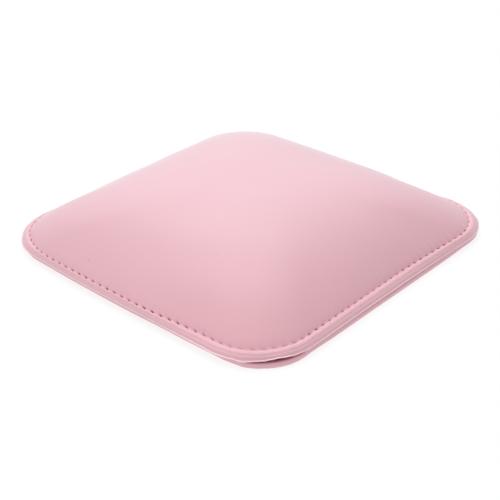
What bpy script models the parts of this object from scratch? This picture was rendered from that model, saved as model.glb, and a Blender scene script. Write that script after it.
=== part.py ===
"""Manicure hand rest: a domed square cushion sewn to a thin covered base.

Units are metres, with +Z up. The pad stands on its base cover, and the origin is on the
table under the middle of its square outline. One seam runs all round, a few millimetres
inside the edge. It passes through four layers of leather: the top cover, the top cover's
turned-in hem, the base cover's turned-in hem, and the base cover. Inside the seam a stiff
board lies on the base cover, and the foam dome stands on the board.

Every piece is drawn as a section and swept round the pad. A section point is a reach and a
height. The reach is measured outward from the seam line, so it is negative over the
cushion and positive over the border.
"""
import math
from collections import namedtuple

import bmesh
import bpy
from mathutils import Vector

# Driving dimensions: the outline seen from above
SIDE_LENGTH = 0.150
EDGE_CORNER_RADIUS = 0.0255
BORDER_WIDTH = 0.0032
SEAM_CORNER_RADIUS = 0.0240
SEAM_SHIFT_X = 0.0003
SEAM_SHIFT_Y = 0.0007
BASE_INSET = 0.0011
BASE_CORNER_RADIUS = 0.0225
BASE_SHIFT_X = 0.0006
BASE_SHIFT_Y = -0.0004

# Driving dimensions: the cushion and its layers
DOME_RISE = 0.0202
DOME_FULLNESS = 3.0
CORNER_ROUNDING = 1.5
CROWN_FLAT_RADIUS = 0.0030
LEATHER_THICKNESS = 0.0010
BOARD_THICKNESS = 0.0023
BOARD_EDGE_BEVEL = 0.0003
HEM_REACH = 0.0030
BORDER_BULGE = 0.0005
BULGE_POSITION = 0.45
FOAM_SEAM_CLEARANCE = 0.0015

# Driving dimensions: the sewing threads
NEEDLE_THREAD_DIAMETER = 0.0006
BOBBIN_THREAD_DIAMETER = 0.0003
BOBBIN_STANDOFF = 0.00005

# Clearance between neighbouring pieces
FIT_GAP = 0.0003

# Mesh fineness
CORNER_STEPS = 11
DOME_STEPS = 12
FOLD_STEPS = 4
SHARP_EDGE_DEGREES = 40

# Heights of the layers above the table
BASE_HEM_BOTTOM = LEATHER_THICKNESS + FIT_GAP
BASE_HEM_TOP = BASE_HEM_BOTTOM + LEATHER_THICKNESS
TOP_HEM_BOTTOM = BASE_HEM_TOP + FIT_GAP
TOP_HEM_TOP = TOP_HEM_BOTTOM + LEATHER_THICKNESS
COVER_UNDERSIDE = TOP_HEM_TOP + FIT_GAP
SEAM_HEIGHT = COVER_UNDERSIDE + LEATHER_THICKNESS
BOARD_BOTTOM = LEATHER_THICKNESS + FIT_GAP
BOARD_TOP = BOARD_BOTTOM + BOARD_THICKNESS
FOAM_BOTTOM = max(BOARD_TOP, TOP_HEM_TOP) + FIT_GAP

# Sizes that follow from the layers
SEAM_HALF = SIDE_LENGTH / 2 - BORDER_WIDTH
BASE_BORDER_WIDTH = BORDER_WIDTH - BASE_INSET
FOLD_RADIUS = LEATHER_THICKNESS + FIT_GAP / 2
NEEDLE_GROOVE_HALF = NEEDLE_THREAD_DIAMETER / 2 + FIT_GAP
NEEDLE_GROOVE_DEPTH = NEEDLE_THREAD_DIAMETER / 2 + FIT_GAP
BOBBIN_GROOVE_HALF = BOBBIN_THREAD_DIAMETER / 2 + FIT_GAP
BOBBIN_GROOVE_DEPTH = BOBBIN_STANDOFF + BOBBIN_THREAD_DIAMETER + FIT_GAP

# Colours, linear RGB
TOP_PINK = (0.84, 0.55, 0.60)
BASE_PINK = (0.78, 0.46, 0.52)
THREAD_PINK = (0.86, 0.56, 0.61)
FOAM_CREAM = (0.86, 0.83, 0.74)
BOARD_GREY = (0.36, 0.33, 0.30)

Outline = namedtuple("Outline", "x y half radius")

SEAM = Outline(SEAM_SHIFT_X, SEAM_SHIFT_Y, SEAM_HALF, SEAM_CORNER_RADIUS)
COVER_EDGE = Outline(0.0, 0.0, SIDE_LENGTH / 2, EDGE_CORNER_RADIUS)
BASE_EDGE = Outline(BASE_SHIFT_X, BASE_SHIFT_Y, SEAM_HALF + BASE_BORDER_WIDTH, BASE_CORNER_RADIUS)


def clear_scene():
    """Remove every object, so that the scene holds only the pad."""
    for item in list(bpy.data.objects):
        bpy.data.objects.remove(item, do_unlink=True)


def outline_at(reach, edge):
    """Rounded square at a reach from the seam: towards the edge outside, rounder inside."""
    if reach >= 0:
        share = reach / (edge.half - SEAM.half)
        return Outline(*(a + (b - a) * share for a, b in zip(SEAM, edge)))
    inward = -reach / SEAM.half
    squareness = SEAM.radius / SEAM.half
    half = SEAM.half + reach
    radius = half * (squareness + (1 - squareness) * inward ** CORNER_ROUNDING)
    return Outline(SEAM.x, SEAM.y, half, radius)


def ring_points(outline, height):
    """Points of a rounded square, anticlockwise from above; its sides stay straight."""
    points = []
    for quarter in range(4):
        start = quarter * math.pi / 2
        middle = start + math.pi / 4
        centre_x = outline.x + math.copysign(outline.half - outline.radius, math.cos(middle))
        centre_y = outline.y + math.copysign(outline.half - outline.radius, math.sin(middle))
        for step in range(CORNER_STEPS + 1):
            angle = start + math.pi / 2 * step / CORNER_STEPS
            x = centre_x + outline.radius * math.cos(angle)
            y = centre_y + outline.radius * math.sin(angle)
            points.append(Vector((x, y, height)))
    return points


def swept_body(name, section, edge, material):
    """Closed body swept from a section that starts and ends with a flat face over the middle."""
    mesh = bmesh.new()
    rings = []
    for reach, height in section:
        points = ring_points(outline_at(reach, edge), height)
        rings.append([mesh.verts.new(point) for point in points])
    for upper, lower in zip(rings, rings[1:]):
        for index, vertex in enumerate(upper):
            follower = (index + 1) % len(upper)
            mesh.faces.new((vertex, lower[index], lower[follower], upper[follower]))
    mesh.faces.new(rings[0])
    mesh.faces.new(rings[-1])
    bmesh.ops.recalc_face_normals(mesh, faces=mesh.faces)
    data = bpy.data.meshes.new(name)
    mesh.to_mesh(data)
    mesh.free()
    data.shade_smooth()
    data.set_sharp_from_angle(angle=math.radians(SHARP_EDGE_DEGREES))
    return placed(name, data, material)


def placed(name, data, material):
    """Object of that name in the scene, with its material."""
    data.materials.append(material)
    item = bpy.data.objects.new(name, data)
    bpy.context.scene.collection.objects.link(item)
    return item


def plain_finish(name, colour, roughness):
    """Principled material with the piece's colour and roughness."""
    material = bpy.data.materials.new(name)
    material.use_nodes = True
    shader = material.node_tree.nodes["Principled BSDF"]
    shader.inputs["Base Color"].default_value = (*colour, 1.0)
    shader.inputs["Roughness"].default_value = roughness
    shader.inputs["Metallic"].default_value = 0.0
    return material


def dome_section(depth, start_inward):
    """Section of the dome, from its crown to its foot, at a depth below the outer face.

    The dome rises steeply from the seam and flattens towards the crown. The depth is
    measured square to the surface at the middle of a side.
    """
    crown_share = 1 - CROWN_FLAT_RADIUS / SEAM_HALF
    first_share = start_inward / SEAM_HALF
    section = []
    for step in range(DOME_STEPS + 1):
        share = crown_share + (first_share - crown_share) * step / DOME_STEPS
        height = SEAM_HEIGHT + DOME_RISE * (1 - (1 - share) ** DOME_FULLNESS)
        slope = DOME_RISE * DOME_FULLNESS * (1 - share) ** (DOME_FULLNESS - 1) / SEAM_HALF
        angle = math.atan(slope)
        reach = -SEAM_HALF * share - depth * math.sin(angle)
        section.append((reach, height - depth * math.cos(angle)))
    return section


def arc_section(centre, radii, first_degrees, last_degrees):
    """Points of an elliptical arc in the section; 0 degrees is outward and 90 is up."""
    section = []
    for step in range(FOLD_STEPS + 1):
        angle = math.radians(first_degrees + (last_degrees - first_degrees) * step / FOLD_STEPS)
        section.append((centre[0] + radii[0] * math.cos(angle), centre[1] + radii[1] * math.sin(angle)))
    return section


def border_arc(depth):
    """Section of the border's rounded top, from over its bulge to the side wall."""
    bulge_reach = BORDER_WIDTH * BULGE_POSITION
    fold_height = TOP_HEM_BOTTOM + FOLD_RADIUS
    radii = (
        BORDER_WIDTH - bulge_reach - depth,
        SEAM_HEIGHT + BORDER_BULGE - depth - fold_height,
    )
    return arc_section((bulge_reach, fold_height), radii, 90, 0)


def fold_arc(centre, depth, first_degrees, last_degrees):
    """Section of a turned edge, a round fold of leather about its centre."""
    radius = FOLD_RADIUS - depth
    return arc_section(centre, (radius, radius), first_degrees, last_degrees)


def top_cover():
    """Domed leather cover with its seam groove, rounded border and turned-in hem."""
    groove_floor = SEAM_HEIGHT - NEEDLE_GROOVE_DEPTH
    fold_centre = (BORDER_WIDTH - FOLD_RADIUS, TOP_HEM_BOTTOM + FOLD_RADIUS)
    foot_inward = NEEDLE_GROOVE_HALF + FIT_GAP
    outer = dome_section(0.0, foot_inward)
    outer += [(-NEEDLE_GROOVE_HALF, groove_floor), (NEEDLE_GROOVE_HALF, groove_floor)]
    outer += [(NEEDLE_GROOVE_HALF + FIT_GAP, SEAM_HEIGHT)]
    outer += border_arc(0.0)[:-1]
    outer += fold_arc(fold_centre, 0.0, 0, -90)
    hem = [(-HEM_REACH, TOP_HEM_BOTTOM), (-HEM_REACH, TOP_HEM_TOP)]
    inner = fold_arc(fold_centre, LEATHER_THICKNESS, -90, 0)[:-1]
    inner += list(reversed(border_arc(LEATHER_THICKNESS)))
    inner += [(NEEDLE_GROOVE_HALF, COVER_UNDERSIDE), (-NEEDLE_GROOVE_HALF - FIT_GAP, COVER_UNDERSIDE)]
    inner += list(reversed(dome_section(LEATHER_THICKNESS, foot_inward)))
    material = plain_finish("top_cover_leather", TOP_PINK, 0.50)
    return swept_body("top_cover", outer + hem + inner, COVER_EDGE, material)


def foam_pad():
    """Solid foam dome that fills the cover and stands on the board."""
    section = dome_section(LEATHER_THICKNESS + FIT_GAP, FOAM_SEAM_CLEARANCE)
    section += [(section[-1][0], FOAM_BOTTOM)]
    material = plain_finish("pad_foam", FOAM_CREAM, 0.90)
    return swept_body("foam_pad", section, COVER_EDGE, material)


def base_board():
    """Stiff flat board that lies inside the hems, with its edges eased."""
    reach = -HEM_REACH - FIT_GAP
    section = [
        (reach - BOARD_EDGE_BEVEL, BOARD_TOP),
        (reach, BOARD_TOP - BOARD_EDGE_BEVEL),
        (reach, BOARD_BOTTOM + BOARD_EDGE_BEVEL),
        (reach - BOARD_EDGE_BEVEL, BOARD_BOTTOM),
    ]
    material = plain_finish("board_fibre", BOARD_GREY, 0.85)
    return swept_body("base_board", section, COVER_EDGE, material)


def base_cover():
    """Flat leather underside, with a thread groove and its edge turned up and in."""
    fold_centre = (BASE_BORDER_WIDTH - FOLD_RADIUS, FOLD_RADIUS)
    section = [
        (-BOBBIN_GROOVE_HALF - FIT_GAP, 0.0),
        (-BOBBIN_GROOVE_HALF, BOBBIN_GROOVE_DEPTH),
        (BOBBIN_GROOVE_HALF, BOBBIN_GROOVE_DEPTH),
        (BOBBIN_GROOVE_HALF + FIT_GAP, 0.0),
    ]
    section += fold_arc(fold_centre, 0.0, -90, 0)[:-1]
    section += fold_arc(fold_centre, 0.0, 0, 90)
    section += [(-HEM_REACH, BASE_HEM_TOP), (-HEM_REACH, BASE_HEM_BOTTOM)]
    section += fold_arc(fold_centre, LEATHER_THICKNESS, 90, -90)
    section += [(-HEM_REACH, LEATHER_THICKNESS)]
    material = plain_finish("base_cover_leather", BASE_PINK, 0.55)
    return swept_body("base_cover", section, BASE_EDGE, material)


def thread_loop(name, diameter, height, colour):
    """Sewing thread laid round the seam line as one closed round loop."""
    data = bpy.data.curves.new(name, "CURVE")
    data.dimensions = "3D"
    data.bevel_depth = diameter / 2
    data.bevel_resolution = 2
    spline = data.splines.new("POLY")
    points = ring_points(SEAM, height)
    spline.points.add(len(points) - 1)
    for target, point in zip(spline.points, points):
        target.co = (*point, 1.0)
    spline.use_cyclic_u = True
    material = plain_finish(name + "_fibre", colour, 0.60)
    return placed(name, data, material)


def main():
    """Build the six pieces of the hand rest."""
    clear_scene()
    top_cover()
    foam_pad()
    base_board()
    base_cover()
    thread_loop("needle_thread", NEEDLE_THREAD_DIAMETER, SEAM_HEIGHT, THREAD_PINK)
    bobbin_height = BOBBIN_STANDOFF + BOBBIN_THREAD_DIAMETER / 2
    thread_loop("bobbin_thread", BOBBIN_THREAD_DIAMETER, bobbin_height, THREAD_PINK)


main()
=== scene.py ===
"""Looks of the manicure hand rest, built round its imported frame.

The leather top cover, the base cover and every stitch of the edge seam are modelled here as
fine meshes, in the places that the frame's own pieces hold. The foam and the board inside
keep the frame's shapes and get their own finishes.

Lengths are in metres. A place on the pad is given by how far round the seam it lies, by its
reach, which is measured outward from the seam line, and by its height above the table.
"""

import logging
import math
from collections.abc import Sequence
from dataclasses import astuple, dataclass
from enum import Enum

import bmesh
import bpy
import numpy as np
from mathutils import Matrix, Vector


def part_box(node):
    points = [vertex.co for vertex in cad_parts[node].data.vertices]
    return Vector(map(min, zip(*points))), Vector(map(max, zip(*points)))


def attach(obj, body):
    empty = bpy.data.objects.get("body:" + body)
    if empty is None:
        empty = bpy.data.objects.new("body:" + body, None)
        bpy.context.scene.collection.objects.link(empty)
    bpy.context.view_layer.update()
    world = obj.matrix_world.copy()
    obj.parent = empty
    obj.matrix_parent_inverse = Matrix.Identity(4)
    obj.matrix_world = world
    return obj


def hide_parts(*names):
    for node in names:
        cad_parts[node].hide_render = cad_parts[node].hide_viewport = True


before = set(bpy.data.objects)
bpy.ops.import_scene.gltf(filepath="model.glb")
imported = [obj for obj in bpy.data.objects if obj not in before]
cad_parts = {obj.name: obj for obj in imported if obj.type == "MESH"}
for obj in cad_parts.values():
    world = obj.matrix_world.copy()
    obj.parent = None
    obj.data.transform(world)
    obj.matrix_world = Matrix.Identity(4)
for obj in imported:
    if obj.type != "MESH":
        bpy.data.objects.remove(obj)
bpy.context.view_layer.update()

log = logging.getLogger("hand_rest")

Triple = tuple[float, float, float]
Section = tuple[tuple[float, float], ...]

MM = 0.001
BODY = "root"
RANDOM_SEED = 21
SEAM_MAP = "seam_walk"
SEAM_CORNER = 24.0 * MM
EDGE_CORNER = 26.0 * MM
BASE_CORNER = 22.5 * MM
NEAR_CORNER_HEADING = math.radians(225)


class Slot(Enum):
    """Names of the record's material slots; nothing in this script reads them."""

    TOP_LEATHER = "top_leather"
    BASE_LEATHER = "base_leather"
    THREAD = "thread"
    FOAM = "foam"
    BOARD = "board"


class ThreadSide(Enum):
    """The two sides of the lockstitch seam, by the name of the thread that lies there."""

    NEEDLE = "needle_thread"
    BOBBIN = "bobbin_thread"


class Mask(Enum):
    """Per-vertex masks that the leather finishes read: painted shade in the needle holes and folds,
    and a painted highlight and painted floor light on the lip and wall, where a real gloss also lies.
    """

    # Painted shade inside the needle holes
    HOLE_SHADE = "needle_hole"
    # Painted highlight along the lip's edge and painted floor light on the border's wall; the same
    # mask sets a real gloss coat there
    EDGE = "pressed_edge"
    # Painted shade deep in the folds and in the gap under the border's lip
    SHADE = "deep_fold"


def random_source(seed: int) -> np.random.Generator:
    """Return a source of random numbers that gives the same ones in every run."""
    return np.random.default_rng(RANDOM_SEED + seed)


def limited(share: float) -> float:
    """Return a share kept within 0 and 1."""
    return min(max(share, 0.0), 1.0)


def in_metres(*points: tuple[float, float]) -> Section:
    """Return section points that are given in millimetres, in metres."""
    return tuple((reach * MM, height * MM) for reach, height in points)


@dataclass(frozen=True)
class Margins:
    """Widths beside the seam on each side of the pad, by the sides' places in the photograph.

    Args:
        left_front: Width on the side towards -X.
        right_front: Width on the side towards -Y.
        back_right: Width on the side towards +X.
        back_left: Width on the side towards +Y.
    """

    left_front: float
    right_front: float
    back_right: float
    back_left: float


BORDER_WIDTHS = Margins(2.90 * MM, 3.75 * MM, 2.05 * MM, 2.30 * MM)
BASE_WIDTHS = Margins(1.35 * MM, 3.65 * MM, 1.35 * MM, 1.21 * MM)


@dataclass(frozen=True)
class SeamCurve:
    """Value that changes smoothly round the seam, such as the drift of a hand-guided line.

    Args:
        unit: Unit of the values.
        steps: Places in millimetres from the near corner's middle, negative to its left, and
            the value at each.
    """

    unit: float
    steps: Section

    def at(self, columns: "Columns") -> np.ndarray:
        """Return the value at each column, along a smooth curve.

        Args:
            columns: Places round the seam.

        Returns:
            One value for each column.
        """
        places, values = np.array(self.steps).T
        places = places * MM
        values = values * self.unit
        slopes = np.gradient(values, places)
        slopes[0] = slopes[-1] = 0.0
        near = np.clip(columns.past(0.0, columns.round_length), places[0], places[-1])
        index = np.clip(np.searchsorted(places, near) - 1, 0, len(places) - 2)
        span = places[index + 1] - places[index]
        t = (near - places[index]) / span
        return (
            values[index] * (1 + 2 * t) * (1 - t) ** 2
            + slopes[index] * span * t * (1 - t) ** 2
            + values[index + 1] * t**2 * (3 - 2 * t)
            + slopes[index + 1] * span * t**2 * (t - 1)
        )


SEAM_DRIFT = SeamCurve(MM, (
    (-160, 0.0), (-143, 0.4), (-121, -1.0), (-110, 0.2), (-90, 0.8), (-68, 1.0), (-50, 0.85),
    (-34, -0.35), (-17, -1.15), (-5, -0.2), (10, 0.0), (30, -0.15), (55, -0.4), (80, -0.6),
    (98, 0.1), (112, 0.8), (130, 0.9), (148, 0.1), (165, -1.4), (181, -0.6), (200, 0.0),
))
EDGE_DRIFT = SeamCurve(MM, (
    (-267, 0.3), (-245, 0.1), (-225, 0.0), (-190, 0.2), (-172, 0.8), (-160, 1.3), (-150, 1.6),
    (-141, 1.2), (-133, 0.2), (-127, -0.2), (-118, -1.2), (-108, -0.85), (-96, -0.4), (-80, 0.0),
    (-60, 0.0), (-24, 0.1), (-14, 0.25), (-3, 0.35), (8, 0.2), (20, 0.3), (45, 0.0), (100, 0.0),
    (117, 0.4), (126, 1.5), (137, 1.9), (146, 0.8), (156, -0.6), (166, -1.2), (180, -0.7),
    (192, -0.2), (206, 0.0), (228, 0.0), (245, 0.1), (267, 0.3),
))
BASE_DRIFT = SeamCurve(MM, (
    (-160, 0.0), (-133, -0.5), (-120, -1.15), (-108, -0.9), (-96, -0.4), (-80, -0.05), (-62, 0.1),
    (-45, -0.2), (-32, -0.25), (-20, -0.5), (-13, -0.35), (-7, 0.6), (0, 0.75), (8, 0.85),
    (20, -0.05), (32, 0.1), (50, 0.0), (100, -0.1), (118, -0.3), (126, 0.4), (138, 0.2),
    (150, 0.0), (166, -0.3), (185, -0.1), (205, 0.0),
))
FOOT_SHARE = SeamCurve(1.0, (
    (-267, 0.55), (-240, 0.66), (-225, 0.86), (-205, 1.00), (-188, 1.00), (-170, 0.80),
    (-156, 0.60), (-134, 0.55), (-112, 0.60), (-96, 0.82), (-80, 1.00), (-54, 1.00), (-38, 0.82),
    (-22, 0.60), (0, 0.55), (22, 0.60), (38, 0.82), (54, 1.00), (80, 1.00), (96, 0.82),
    (112, 0.60), (128, 0.40), (140, -0.20), (150, -0.60), (158, -0.20), (167, 0.60), (178, 0.95),
    (190, 1.05), (212, 1.00), (228, 0.82), (244, 0.60), (267, 0.55),
))
HOLE_LENGTHS = SeamCurve(MM, (
    (-206, 0.60), (-142, 0.80), (-122, 0.60), (-100, 0.75), (-40, 0.85), (-14, 0.95), (0, 1.05),
    (12, 0.85), (24, 0.50), (110, 0.48), (206, 0.60),
))
# Darkness of the needle holes round the seam, which sets their depth and their painted shade
HOLE_DARKNESS = SeamCurve(1.0, (
    (-206, 0.50), (-150, 0.85), (-138, 0.70), (-126, 0.60), (-108, 0.85), (-90, 1.00), (-32, 1.00),
    (-20, 0.60), (-10, 0.28), (0, 0.20), (12, 0.28), (22, 0.65), (36, 1.05), (100, 1.00),
    (125, 0.70), (206, 0.50),
))


@dataclass(frozen=True)
class Fold:
    """Small fold in the turned lip of the top cover.

    Args:
        place: Distance from the near corner's middle, negative to its left.
        spread: Half of the fold's length along the lip.
        out: How far the lip stands out there.
        lift: How far it is lifted off the base.
    """

    place: float
    spread: float
    out: float
    lift: float

    def share(self, columns: "Columns") -> np.ndarray:
        """Return 1 within the fold, falling steeply to 0 at its ends."""
        return np.exp(-((columns.past(self.place, columns.round_length) / self.spread) ** 4))


# Place, spread, out and lift of each fold that the photograph shows, in millimetres
NEAR_CORNER_FOLDS = (
    (-12.0, 4.0, 0.0, 0.10), (-6.6, 1.9, 0.50, -0.22), (-4.6, 0.5, 0.10, 0.05),
    (-3.6, 0.7, 0.20, -0.12), (-0.9, 2.3, 0.0, 0.22), (3.0, 1.6, 0.0, 0.52),
    (5.8, 1.5, 0.10, 0.92), (8.9, 1.6, 0.10, 0.48), (13.0, 2.0, 0.0, 0.15),
)
# Smallest and largest of the same sizes for a fold in the corners that it hides
HIDDEN_FOLD_RANGES = ((-14.0, 14.0), (0.8, 2.6), (-0.1, 0.25), (-0.05, 0.35))


@dataclass(frozen=True)
class Outline:
    """Rounded rectangle seen from above.

    Args:
        x: Middle of the rectangle along X.
        y: Middle of the rectangle along Y.
        half_x: Half of its length along X.
        half_y: Half of its length along Y.
        radius: Corner radius.
    """

    x: float
    y: float
    half_x: float
    half_y: float
    radius: float

    def towards(self, other: "Outline", share: float) -> "Outline":
        """Return the outline that lies a share of the way to another one."""
        ends = zip(astuple(self), astuple(other))
        return Outline(*(here + (there - here) * share for here, there in ends))

    def widened(self, margins: Margins, radius: float) -> "Outline":
        """Return the outline that lies outside this one by a width on each side.

        Args:
            margins: The four widths.
            radius: Corner radius of the new outline.

        Returns:
            The wider outline.
        """
        return Outline(
            self.x + (margins.back_right - margins.left_front) / 2,
            self.y + (margins.back_left - margins.right_front) / 2,
            self.half_x + (margins.back_right + margins.left_front) / 2,
            self.half_y + (margins.back_left + margins.right_front) / 2,
            radius,
        )


@dataclass(frozen=True)
class Columns:
    """Places round the seam where a mesh has its columns of points.

    Args:
        distance: Distance along the seam from the near corner's middle.
        stitch: Stitch count up to each place, with a needle hole at every half.
        angle: Outward direction in plan, in radians.
        first: Signs of the corner that the place's arc or side starts from.
        second: Signs of the corner that it ends at.
        share: How far the place lies from the first corner to the second.
        round_length: Length of the seam all round.
    """

    distance: np.ndarray
    stitch: np.ndarray
    angle: np.ndarray
    first: np.ndarray
    second: np.ndarray
    share: np.ndarray
    round_length: float

    @property
    def outward(self) -> np.ndarray:
        """Unit vectors that point outward from the pad, in plan."""
        return np.stack([np.cos(self.angle), np.sin(self.angle)], axis=1)

    def past(self, place: float, period: float) -> np.ndarray:
        """Return how far past a place each column lies, the short way.

        Args:
            place: Distance of the place along the seam.
            period: Distance after which the place comes again.

        Returns:
            One distance for each column, negative before the place.
        """
        return (self.distance - place + period / 2) % period - period / 2

    def near_corners(self, spread: float) -> np.ndarray:
        """Return 1 at the corners' middles, falling to 0 over a distance along the sides."""
        return np.exp(-((self.past(0.0, self.round_length / 4) / spread) ** 4))

    def on(self, outline: Outline) -> np.ndarray:
        """Return the columns' places in plan on one outline.

        Args:
            outline: The outline.

        Returns:
            One row of x and y for each column.
        """
        inset = np.array([outline.half_x, outline.half_y]) - outline.radius
        centre = self.first + (self.second - self.first) * self.share[:, None]
        middle = np.array([outline.x, outline.y])
        return middle + centre * inset + self.outward * outline.radius


@dataclass(frozen=True)
class SeamWalk:
    """The seam line, walked anticlockwise from the near corner's middle.

    Args:
        seam: Outline that the stitches follow.
        stitches: Stitches in each quarter, from one corner's middle to the next one's.
    """

    seam: Outline
    stitches: tuple[int, ...] = (35, 34, 34, 32)

    @property
    def total(self) -> int:
        """Number of stitches all round."""
        return sum(self.stitches)

    @property
    def arc(self) -> float:
        """Length of half a corner's arc."""
        return math.pi / 4 * self.seam.radius

    @property
    def side(self) -> float:
        """Length of one straight side."""
        return 2 * (self.seam.half_x - self.seam.radius)

    @property
    def quarter(self) -> float:
        """Length from one corner's middle to the next one's."""
        return 2 * self.arc + self.side

    def distance_of(self, stitch: np.ndarray) -> np.ndarray:
        """Return how far round the seam each stitch count lies.

        Args:
            stitch: Stitch counts from the near corner's middle.

        Returns:
            One distance along the seam for each count.
        """
        counts = np.concatenate([[0], np.cumsum(self.stitches)])
        turns = np.floor(stitch / self.total)
        marks = np.arange(len(counts)) * self.quarter
        return np.interp(stitch - turns * self.total, counts, marks) + turns * 4 * self.quarter

    def columns(self, stitch: np.ndarray) -> Columns:
        """Return the mesh columns that lie at these stitch counts.

        Args:
            stitch: Stitch counts from the near corner's middle.

        Returns:
            The columns.
        """
        distance = self.distance_of(stitch)
        quarter = np.floor(distance / self.quarter)
        along = distance - quarter * self.quarter
        start = NEAR_CORNER_HEADING + quarter * math.pi / 2
        turned = np.clip(along, 0, self.arc) + np.clip(along - self.arc - self.side, 0, self.arc)
        corners = np.array([(-1, -1), (1, -1), (1, 1), (-1, 1)], float)
        index = quarter.astype(int) % 4
        return Columns(
            distance=distance,
            stitch=stitch,
            angle=start + turned / self.seam.radius,
            first=corners[index],
            second=corners[(index + 1) % 4],
            share=np.clip((along - self.arc) / self.side, 0, 1),
            round_length=4 * self.quarter,
        )

    def spread(self, phases: Sequence[float]) -> Columns:
        """Return columns at the same phases of every stitch; phase 0 is a needle hole."""
        stitch = np.arange(self.total)[:, None] + 0.5 + np.asarray(phases)[None, :]
        return self.columns(stitch.ravel())


@dataclass(frozen=True)
class Ripple:
    """Smooth irregular wave round the seam that closes on itself.

    Args:
        shortest: Shortest wavelength.
        longest: Longest wavelength.
        seed: Number that fixes the wave's phases.
        parts: Number of sine waves added up.
    """

    shortest: float
    longest: float
    seed: int
    parts: int = 14

    def at(self, columns: Columns, shift: float = 0.0) -> np.ndarray:
        """Return the wave's value, mostly within -1 and 1.

        Args:
            columns: Places round the seam.
            shift: Distance by which the wave is read further on.

        Returns:
            One value for each column.
        """
        draw = random_source(self.seed)
        lengths = np.linspace(self.shortest, self.longest, self.parts)
        turns = np.round(columns.round_length / lengths)
        phases = draw.uniform(0, math.tau, self.parts)
        distance = (columns.distance + shift)[..., None]
        angles = math.tau * turns * distance / columns.round_length + phases
        return np.sin(angles).sum(axis=-1) / math.sqrt(self.parts)


@dataclass(frozen=True)
class Undulation:
    """Slow, shallow unevenness of a soft surface seen from above.

    Args:
        depth: Typical height of a swell.
        wavelength: Typical distance between swells.
        seed: Number that fixes the pattern.
        parts: Number of plane waves added up.
        variety: Smallest and largest wavelength, as shares of the typical one.
    """

    depth: float
    wavelength: float
    seed: int
    parts: int = 9
    variety: tuple[float, float] = (0.7, 1.5)

    def at(self, plan: np.ndarray) -> np.ndarray:
        """Return the height of the unevenness at each place in plan.

        Args:
            plan: One row of x and y for each place.

        Returns:
            One height for each place.
        """
        draw = random_source(self.seed)
        headings = draw.uniform(0, math.tau, self.parts)
        lengths = self.wavelength * draw.uniform(*self.variety, self.parts)
        phases = draw.uniform(0, math.tau, self.parts)
        waves = np.stack([np.cos(headings), np.sin(headings)]) / lengths
        swells = np.sin(math.tau * plan @ waves + phases)
        return self.depth * swells.sum(axis=-1) / math.sqrt(self.parts)


def smooth_line(points: Sequence[tuple[float, float]], steps: int) -> np.ndarray:
    """Return points along a smooth curve through given section points.

    Args:
        points: Reach and height of each section point.
        steps: Number of steps between neighbouring section points.

    Returns:
        One row of reach and height for each point of the curve.
    """
    given = np.asarray(points, float)
    padded = np.vstack([2 * given[0] - given[1], given, 2 * given[-1] - given[-2]])
    line = []
    for a, b, c, d in zip(padded, padded[1:], padded[2:], padded[3:]):
        for t in np.arange(steps) / steps:
            bend = (2 * a - 5 * b + 4 * c - d) * t**2 + (3 * b - a - 3 * c + d) * t**3
            line.append(0.5 * (2 * b + (c - a) * t + bend))
    line.append(given[-1])
    return np.array(line)


def section_normals(section: np.ndarray) -> np.ndarray:
    """Return unit normals of a section line, on its left side as it is walked.

    Args:
        section: One row of reach and height for each point of the line.

    Returns:
        The outward and the upward part of each point's normal.
    """
    ahead = np.gradient(section, axis=0)
    normals = np.stack([-ahead[:, 1], ahead[:, 0]], axis=1)
    return normals / np.linalg.norm(normals, axis=1, keepdims=True)


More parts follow.
